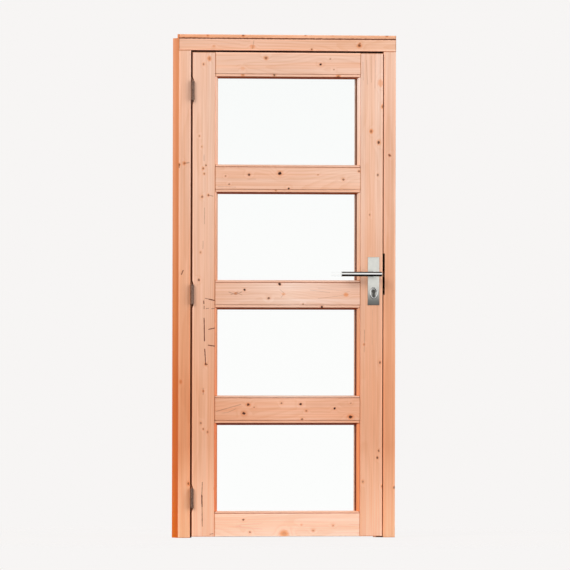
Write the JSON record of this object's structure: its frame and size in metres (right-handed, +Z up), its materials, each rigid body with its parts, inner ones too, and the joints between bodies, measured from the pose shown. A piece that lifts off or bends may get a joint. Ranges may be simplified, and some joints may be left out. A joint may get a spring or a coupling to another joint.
{
  "type": "glazed wooden door",
  "caption": "Pine door leaf with a column of glass panes held by beads, butt hinges, mortise lock and lever handles, hung in its rebated wooden frame.",
  "frame": {"origin": "on the outer face of the hinge jamb, at floor level and at mid depth of the frame", "axes": "+X from the hinge side to the lock side, -Y the front that the leaf opens towards, +Z up"},
  "size_m": [0.942, 0.156, 2.091],
  "materials": {
    "pine": "planed knotty pine, clear matt finish",
    "clear_glass": "clear float glass",
    "zinc_steel": "zinc-plated steel",
    "brushed_steel": "satin stainless steel",
    "black_steel": "blackened steel",
    "nickel": "satin nickel"
  },
  "bodies": {
    "frame": {"hinge_jamb": "pine", "lock_jamb": "pine", "head": "pine", "head_cap": "pine", "hinge_stop": "pine", "lock_stop": "pine", "head_stop": "pine", "strike_plate": "black_steel", "bottom_hinge_jamb_leaf": "zinc_steel", "middle_hinge_jamb_leaf": "zinc_steel", "top_hinge_jamb_leaf": "zinc_steel", "bottom_hinge_pin": "zinc_steel", "middle_hinge_pin": "zinc_steel", "top_hinge_pin": "zinc_steel"},
    "leaf": {"hinge_stile": "pine", "lock_stile": "pine", "bottom_rail": "pine", "lower_rail": "pine", "middle_rail": "pine", "upper_rail": "pine", "top_rail": "pine", "bottom_level_beads": "pine", "bottom_upright_beads": "pine", "lower_level_beads": "pine", "lower_upright_beads": "pine", "upper_level_beads": "pine", "upper_upright_beads": "pine", "top_level_beads": "pine", "top_upright_beads": "pine", "bottom_pane": "clear_glass", "lower_pane": "clear_glass", "upper_pane": "clear_glass", "top_pane": "clear_glass", "bottom_hinge_door_leaf": "zinc_steel", "middle_hinge_door_leaf": "zinc_steel", "top_hinge_door_leaf": "zinc_steel", "lock_case": "zinc_steel", "latch_bolt": "zinc_steel", "dead_bolt": "zinc_steel", "outside_plate": "brushed_steel", "inside_plate": "brushed_steel", "lock_cylinder": "nickel"},
    "handle": {"outside_lever": "brushed_steel", "inside_lever": "brushed_steel", "spindle": "zinc_steel"}
  },
  "joints": [
    {"name": "leaf_swing", "type": "hinge", "parent": "frame", "child": "leaf", "pos_m": [0.05575, -0.0615, 0], "axis": [0, 0, -1], "range_deg": [0, 170]},
    {"name": "handle_turn", "type": "hinge", "parent": "leaf", "child": "handle", "pos_m": [0.8435, -0.033, 1.097], "axis": [0, -1, 0], "range_deg": [0, 40], "stiffness_Nm_per_rad": 1.4, "springref_deg": -51.57}
  ]
}
